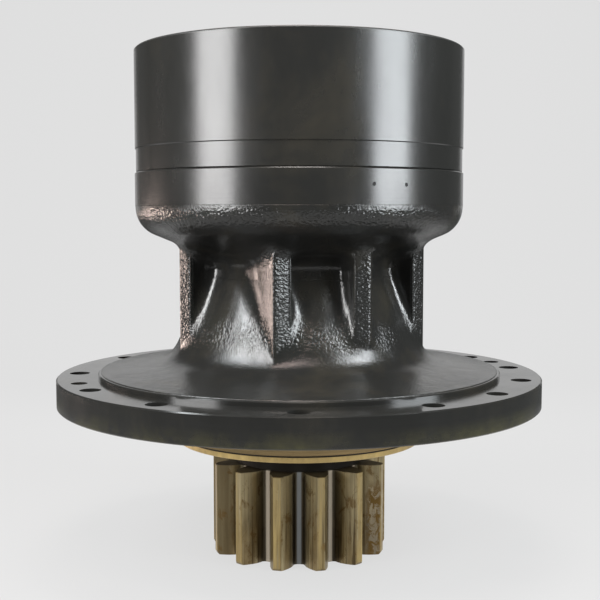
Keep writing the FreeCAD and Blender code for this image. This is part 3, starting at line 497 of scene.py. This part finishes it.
def pinion_steel():
    """Brown oil on the teeth, paler towards their tips partly as a painted highlight, with painted light on
    their upper part, painted shade on the left tooth and at the roots, grey steel between them painted as a
    narrow reflection strip, and black above as painted shade and dirt.
    """
    oil = settings().oil
    nodes = Nodes("pinion_steel")
    shader = nodes.shader
    radius = nodes.radius()
    streaks = nodes.noise(170.0, 5.0, 0.65, (1, 1, 0.05))
    scores = nodes.noise(330.0, 3.0, 0.6, (1, 1, 0.025))
    film = nodes.noise(70.0, 6.0, 0.68, (1, 1, 0.4))
    base = nodes.blend(nodes.ramp(film, 0.32, 0.66), tone(oil.pinion_colour),
                       tone(oil.pinion_colour, 0.5))
    base = nodes.blend(nodes.ramp(streaks, 0.50, 0.64, 0.0, 0.85), base, tone(oil.streak_and_light_colour))
    base = nodes.blend(nodes.ramp(scores, 0.53, 0.62, 0.0, 0.75), base, tone(oil.stain_colour, 0.35))
    # Painted light: the teeth grow paler towards their upper end, as if lit there
    lit = nodes.ramp(nodes.height(), *LIT_FLANKS, 0.0, 0.5)
    base = nodes.blend(lit, base, tone(oil.streak_and_light_colour))
    # Painted shade: the tooth at the left side is darkened
    left = nodes.ramp(nodes.along("X"), *SHADED_LEFT_TOOTH, 0.85, 0.0)
    base = nodes.blend(left, base, tone(oil.pinion_colour, 0.4))
    patches = nodes.noise(95.0, 8.0, 0.72, (1, 1, 0.6), 0.6)
    base = nodes.blend(nodes.ramp(patches, 0.54, 0.62, 0.0, 0.8), base, tone(oil.stain_colour))
    splash = nodes.noise(130.0, 8.0, 0.75, (1, 1, 0.7), 1.2)
    right = nodes.times(nodes.ramp(nodes.along("X"), *RIGHT_TOOTH),
                       nodes.ramp(nodes.height(), *SPLASH_TOP, 1.0, 0.0))
    stained = nodes.times(nodes.ramp(splash, 0.45, 0.51), right)
    base = nodes.blend(nodes.times(right, 0.4), base, tone(oil.dried_colour))
    base = nodes.blend(stained, base, tone(oil.splash_colour))
    # Golden film on the tips, brightened as a painted highlight
    tips = nodes.blend(nodes.ramp(streaks, 0.35, 0.6), tone(oil.tip_film_and_highlight_colour), base)
    base = nodes.blend(nodes.ramp(radius, *TIP_START), base, tips)
    # Painted shade: the teeth darken towards their roots, where the gaps lie in shade
    base = nodes.blend(nodes.ramp(radius, *ROOT_SHADE, 0.8, 0.0), base, SHADE_AND_DIRT)
    # Painted reflection: grey steel along the middle of each root floor as a narrow bright strip, paler at
    # the sides as a painted highlight
    floor = nodes.times(nodes.ramp(radius, *ROOT_FLOOR, 1.0, 0.0), tooth_gap_middle(nodes))
    aside = nodes.ramp(nodes.math("ABSOLUTE", nodes.along("X"), 0.0), *SIDE_GAPS)
    gap_strip_colour = nodes.blend(aside, tone(oil.root_steel_and_reflection_colour), tone(oil.side_gap_highlight_colour))
    base = nodes.blend(floor, base, gap_strip_colour)
    # Painted shade and dirt: the shaft collar above the teeth, under the cover, made near-black and matte
    above = nodes.ramp(nodes.height(), PINION_TOP - 0.0006, PINION_TOP + 0.0002)
    nodes.link(nodes.blend(above, base, SHADE_AND_DIRT), shader.inputs["Base Color"])
    nodes.link(nodes.ramp(above, 0.0, 1.0, 0.7, 0.0), shader.inputs["Metallic"])
    nodes.link(nodes.ramp(above, 0.0, 1.0, 0.5, 0.1), shader.inputs["Specular IOR Level"])
    rough = nodes.plus(nodes.ramp(film, 0.3, 0.7, 0.26, 0.46), nodes.ramp(above, 0.0, 1.0, 0.0, 0.3))
    nodes.link(rough, shader.inputs["Roughness"])
    nodes.link(nodes.bump(nodes.noise(300.0, 3.0, 0.5, (1, 1, 0.06)), 0.0002, 0.3), shader.inputs["Normal"])
    return nodes.material


def plain_finish(name, colour, metallic, roughness):
    """One colour and gloss with a faint unevenness."""
    nodes = Nodes(name)
    nodes.shader.inputs["Base Color"].default_value = (*colour, 1.0)
    nodes.shader.inputs["Metallic"].default_value = metallic
    nodes.shader.inputs["Roughness"].default_value = roughness
    nodes.link(nodes.bump(nodes.noise(300.0, 2.0, 0.5), 0.0001, 0.06), nodes.shader.inputs["Normal"])
    return nodes.material


def paint_node(name, material):
    """Gives a CAD node its material."""
    mesh = frame["nodes"][name].data
    mesh.materials.clear()
    mesh.materials.append(material)


def smooth_node(name):
    """Rounds the shading of a CAD node over its gentle edges and keeps the sharp ones."""
    node = frame["nodes"][name]
    node.data.shade_smooth()
    weld = node.modifiers.new("weld", "WELD")
    weld.merge_threshold = 0.000005
    split = node.modifiers.new("sharp_edges", "EDGE_SPLIT")
    split.split_angle = math.radians(30)


# Modelling


def deselect_all():
    if bpy.context.object and bpy.context.object.mode != "OBJECT":
        bpy.ops.object.mode_set(mode="OBJECT")
    bpy.ops.object.select_all(action="DESELECT")


def make_active(piece):
    deselect_all()
    piece.select_set(True)
    bpy.context.view_layer.objects.active = piece


def add_object(name, data):
    piece = bpy.data.objects.new(name, data)
    bpy.context.scene.collection.objects.link(piece)
    return piece


def edit_all(piece):
    """Enters edit mode with the whole piece selected."""
    make_active(piece)
    bpy.ops.object.mode_set(mode="EDIT")
    bpy.ops.mesh.select_all(action="SELECT")


def copy_of_node(node, name):
    """A free copy of a CAD node's mesh, its loose triangles merged."""
    mesh = frame["nodes"][node].data.copy()
    mesh.materials.clear()
    piece = add_object(name, mesh)
    edit_all(piece)
    bpy.ops.mesh.remove_doubles(threshold=0.000005)
    bpy.ops.object.mode_set(mode="OBJECT")
    return piece


def cut_level(piece, height, keep_above=True):
    """Cuts a piece level and closes the cut."""
    edit_all(piece)
    bpy.ops.mesh.bisect(plane_co=(0, 0, height), plane_no=(0, 0, 1), use_fill=True,
                        clear_inner=keep_above, clear_outer=not keep_above)
    bpy.ops.object.mode_set(mode="OBJECT")


def add_drum(radius, low, high, name="drum"):
    """A closed upright cylinder on the axis."""
    deselect_all()
    bpy.ops.mesh.primitive_cylinder_add(vertices=96, radius=radius, depth=high - low,
                                        location=(0, 0, (low + high) / 2))
    drum = bpy.context.active_object
    drum.name = name
    bpy.ops.object.transform_apply(location=True, rotation=True, scale=True)
    return drum


def join(pieces):
    make_active(pieces[0])
    for piece in pieces:
        piece.select_set(True)
    bpy.ops.object.join()
    return pieces[0]


def apply_modifier(piece, kind, **values):
    make_active(piece)
    modifier = piece.modifiers.new(kind.lower(), kind)
    for key, value in values.items():
        setattr(modifier, key, value)
    bpy.ops.object.modifier_apply(modifier=modifier.name)


def give(piece, material, body):
    """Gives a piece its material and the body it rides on."""
    piece.data.materials.clear()
    piece.data.materials.append(material)
    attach(piece, body)


# Operators


class CastSkinOperator(bpy.types.Operator):
    """Cast surface over the pad, the cone, the ribs and the bowl, with the fillets of a casting"""
    bl_idname = "swing_gearbox.cast_skin"
    bl_label = "Cast surface"

    def execute(self, context):
        cast = settings().cast
        skin = copy_of_node("casing", "cast_surface")
        cut_level(skin, SKIN_FOOT)
        cut_level(skin, SKIN_TOP, keep_above=False)
        skin = join([skin, *(add_drum(*drum) for drum in CORE_DRUMS)])
        filled = add_object("filled", skin.data.copy())
        apply_modifier(filled, "REMESH", mode="VOXEL", voxel_size=FILLET_GRID)
        apply_modifier(filled, "DISPLACE", strength=cast.fillet_build, mid_level=0.0)
        apply_modifier(filled, "REMESH", mode="VOXEL", voxel_size=FILLET_GRID)
        apply_modifier(filled, "SMOOTH", factor=0.5, iterations=cast.fillet_passes)
        apply_modifier(filled, "DISPLACE", strength=-cast.fillet_build, mid_level=0.0)
        skin = join([skin, filled])
        apply_modifier(skin, "REMESH", mode="VOXEL", voxel_size=cast.grid)
        apply_modifier(skin, "SMOOTH", factor=0.5, iterations=cast.edge_passes)
        self.swell(skin, cast.skin_thickness)
        self.trim(skin, PAD_RADIUS - cast.pad_inset)
        make_active(skin)
        bpy.ops.object.shade_smooth()
        give(skin, cast_paint(), "housing")
        return {"FINISHED"}

    def swell(self, skin, thickness):
        """Lifts the surface off the solid, less so towards the machined band."""
        group = skin.vertex_groups.new(name="lift")
        for vertex in skin.data.vertices:
            risen = (vertex.co.z - THINNING_START) / THINNING_LENGTH
            share = 1.0 - THINNING_SHARE * min(1.0, max(0.0, risen))
            group.add([vertex.index], share, "REPLACE")
        apply_modifier(skin, "DISPLACE", strength=thickness, mid_level=0.0, vertex_group="lift")
        skin.vertex_groups.clear()

    def trim(self, skin, radius):
        """Cuts the surface off inside the pad's edge and level at the band."""
        cut_level(skin, BAND_LOW, keep_above=False)
        cut_level(skin, PAD_FOOT)
        round_cutter = add_drum(radius, PAD_FOOT - 0.002, BAND_LOW + 0.002, "round_cutter")
        apply_modifier(skin, "BOOLEAN", operation="INTERSECT", object=round_cutter, solver="EXACT")
        bpy.data.objects.remove(round_cutter)


class PunchMarkOperator(bpy.types.Operator):
    """Two small punch marks on the machined band, near-black discs that paint the shade of punched hollows
    """
    bl_idname = "swing_gearbox.punch_marks"
    bl_label = "Punch marks"

    def execute(self, context):
        marks = []
        for azimuth, height in MARK_PLACES:
            turn = math.radians(azimuth)
            place = (BAND_RADIUS * math.sin(turn), -BAND_RADIUS * math.cos(turn), height)
            deselect_all()
            bpy.ops.mesh.primitive_uv_sphere_add(segments=24, ring_count=12, radius=MARK_RADIUS,
                                                 location=place)
            mark = context.active_object
            mark.scale = (1, 1, 1.2)
            bpy.ops.object.transform_apply(location=True, rotation=True, scale=True)
            edit_all(mark)
            outward = Vector((math.sin(turn), -math.cos(turn), 0))
            bpy.ops.mesh.bisect(plane_co=Vector(place) + outward * MARK_STAND, plane_no=outward,
                                use_fill=True, clear_outer=True)
            bpy.ops.object.mode_set(mode="OBJECT")
            marks.append(mark)
        piece = join(marks)
        piece.name = "punch_marks"
        # Painted shade: a near-black matte disc stands for the shade in each punched hollow
        hollow = plain_finish("painted_punch_shade", (0.004, 0.004, 0.004), 0.0, 0.8)
        give(piece, hollow, "housing")
        return {"FINISHED"}


class FinishOperator(bpy.types.Operator):
    """Give every CAD node its finish"""
    bl_idname = "swing_gearbox.finishes"
    bl_label = "Paint, oil and steel"

    def execute(self, context):
        gear = plain_finish("gear_steel", (0.42, 0.41, 0.39), 1.0, 0.28)
        bright = plain_finish("bearing_steel", (0.60, 0.60, 0.60), 1.0, 0.15)
        dark = plain_finish("black_oxide", (0.02, 0.02, 0.021), 0.6, 0.4)
        iron = plain_finish("carrier_iron", (0.16, 0.16, 0.155), 0.8, 0.42)
        brass = plain_finish("cage_brass", (0.55, 0.36, 0.13), 1.0, 0.3)
        rubber = plain_finish("seal_rubber", (0.012, 0.012, 0.012), 0.0, 0.6)
        by_slot = {
            "casing_paint": casing_finish(), "ring_paint": ring_finish(), "oiled_steel": oiled_steel(),
            "pinion_steel": pinion_steel(), "gear_steel": gear, "machined_steel": gear,
            "bearing_steel": bright, "spring_steel": dark, "dark_screws": dark, "carrier_iron": iron,
            "cage_brass": brass, "bronze": brass, "seal_rubber": rubber,
        }
        for entry in frame["record"]["subparts"]:
            paint_node(entry["node"], by_slot[entry["material_slot"]])
            smooth_node(entry["node"])
        return {"FINISHED"}


def area_light(name, place, aim, width, height, power, colour):
    """A panel that faces the point it is aimed at."""
    data = bpy.data.lights.new(name, "AREA")
    data.shape = "RECTANGLE"
    data.size, data.size_y = width, height
    data.energy = power
    data.color = colour
    light = add_object(name, data)
    light.location = place
    light.rotation_euler = (Vector(aim) - Vector(place)).to_track_quat("-Z", "Y").to_euler()
    light.visible_diffuse = name != GLOSS_ONLY_PANEL


class StageOperator(bpy.types.Operator):
    """Set up the floor, the backdrop, the lights and the camera"""
    bl_idname = "swing_gearbox.stage"
    bl_label = "Studio"

    def light_world(self, world):
        """A room that lights evenly and that the gloss of the object sees as dark."""
        tree = world.node_tree
        pale = tree.nodes["Background"]
        pale.inputs["Color"].default_value = ROOM_LIGHT
        dark = tree.nodes.new("ShaderNodeBackground")
        dark.inputs["Color"].default_value = ROOM_IN_GLOSS
        path = tree.nodes.new("ShaderNodeLightPath")
        mix = tree.nodes.new("ShaderNodeMixShader")
        tree.links.new(path.outputs["Is Glossy Ray"], mix.inputs[0])
        tree.links.new(pale.outputs[0], mix.inputs[1])
        tree.links.new(dark.outputs[0], mix.inputs[2])
        tree.links.new(mix.outputs[0], tree.nodes["World Output"].inputs["Surface"])

    def add_sweep(self, studio):
        """Pale floor that runs up into a wall behind the object without a corner."""
        profile = [(SWEEP_FRONT, 0.0), (SWEEP_BEND, 0.0)]
        for i in range(1, SWEEP_STEPS + 1):
            turn = math.pi / 2 * i / SWEEP_STEPS
            profile.append((SWEEP_BEND + SWEEP_ROUND * math.sin(turn), SWEEP_ROUND * (1 - math.cos(turn))))
        profile.append((SWEEP_BEND + SWEEP_ROUND, SWEEP_HEIGHT))
        low = FLOOR_HEIGHT - FLOOR_GAP
        rows = [[(side * SWEEP_WIDTH / 2, y, low + z) for y, z in profile] for side in (-1, 1)]
        count = len(profile)
        mesh = bpy.data.meshes.new("studio_sweep")
        faces = [(i, i + count, i + count + 1, i + 1) for i in range(count - 1)]
        mesh.from_pydata(rows[0] + rows[1], [], faces)
        sweep = add_object("studio_sweep", mesh)
        make_active(sweep)
        bpy.ops.object.shade_smooth()
        nodes = Nodes("studio_paper")
        nodes.shader.inputs["Base Color"].default_value = (*studio.backdrop_colour, 1.0)
        nodes.shader.inputs["Roughness"].default_value = 0.95
        nodes.shader.inputs["Specular IOR Level"].default_value = 0.0
        nodes.shader.inputs["Emission Color"].default_value = (1, 1, 1, 1)
        nodes.shader.inputs["Emission Strength"].default_value = studio.backdrop_glow
        self.dim_for_gloss(nodes)
        mesh.materials.append(nodes.material)

    def dim_for_gloss(self, nodes):
        """The gloss of the object sees the far floor and the wall's outer parts as dark."""
        far = nodes.ramp(nodes.radius(), *FAR_FLOOR)
        on_floor = nodes.ramp(nodes.height(), *LOW_WALL, 1.0, 0.0)
        aside = nodes.ramp(nodes.math("ABSOLUTE", nodes.along("X"), 0.0), *WALL_SIDES)
        dimmed = nodes.math("MAXIMUM", nodes.times(far, on_floor), aside)
        glossy = nodes.add("ShaderNodeLightPath").outputs["Is Glossy Ray"]
        share = nodes.times(dimmed, nodes.times(glossy, 0.92))
        dark = nodes.add("ShaderNodeEmission")
        dark.inputs["Color"].default_value = ROOM_IN_GLOSS
        mix = nodes.add("ShaderNodeMixShader")
        nodes.link(share, mix.inputs[0])
        nodes.link(nodes.shader.outputs[0], mix.inputs[1])
        nodes.link(dark.outputs[0], mix.inputs[2])
        nodes.link(mix.outputs[0], nodes.tree.nodes["Material Output"].inputs["Surface"])

    def execute(self, context):
        studio = settings().studio
        self.add_sweep(studio)
        world = bpy.data.worlds.new("studio_world")
        world.use_nodes = True
        self.light_world(world)
        context.scene.world = world
        for panel in PANELS:
            area_light(*panel)
        context.scene.view_settings.view_transform = "Standard"
        camera_data = bpy.data.cameras.new("camera")
        camera_data.lens = studio.focal_length
        camera_data.sensor_width = 36.0
        camera_data.clip_start = 0.01
        camera = add_object("camera", camera_data)
        camera.location = (CAMERA_ASIDE, -studio.camera_distance, studio.camera_height)
        camera.rotation_euler = (math.pi / 2 - studio.camera_pitch, 0, 0)
        context.scene.camera = camera
        return {"FINISHED"}


OPERATORS = (FinishOperator, CastSkinOperator, PunchMarkOperator, StageOperator)


class GearboxPanel(bpy.types.Panel):
    """Buttons for each part of the swing gearbox"""
    bl_idname = "VIEW3D_PT_swing_gearbox"
    bl_label = "Swing gearbox"
    bl_space_type = "VIEW_3D"
    bl_region_type = "UI"
    bl_category = "Swing gearbox"

    def draw(self, context):
        for operator in OPERATORS:
            self.layout.operator(operator.bl_idname)


CLASSES = (PaintSettings, CastSettings, OilSettings, StudioSettings, GearboxSettings,
           *OPERATORS, GearboxPanel)


def register():
    for item in CLASSES:
        bpy.utils.register_class(item)
    bpy.types.Scene.swing_gearbox = bpy.props.PointerProperty(
        type=GearboxSettings, name="Swing gearbox", description="Looks and studio of the gearbox")


def unregister():
    del bpy.types.Scene.swing_gearbox
    for item in reversed(CLASSES):
        bpy.utils.unregister_class(item)


def main():
    register()
    bpy.ops.swing_gearbox.finishes()
    bpy.ops.swing_gearbox.cast_skin()
    bpy.ops.swing_gearbox.punch_marks()
    bpy.ops.swing_gearbox.stage()


if __name__ == "__main__":
    main()
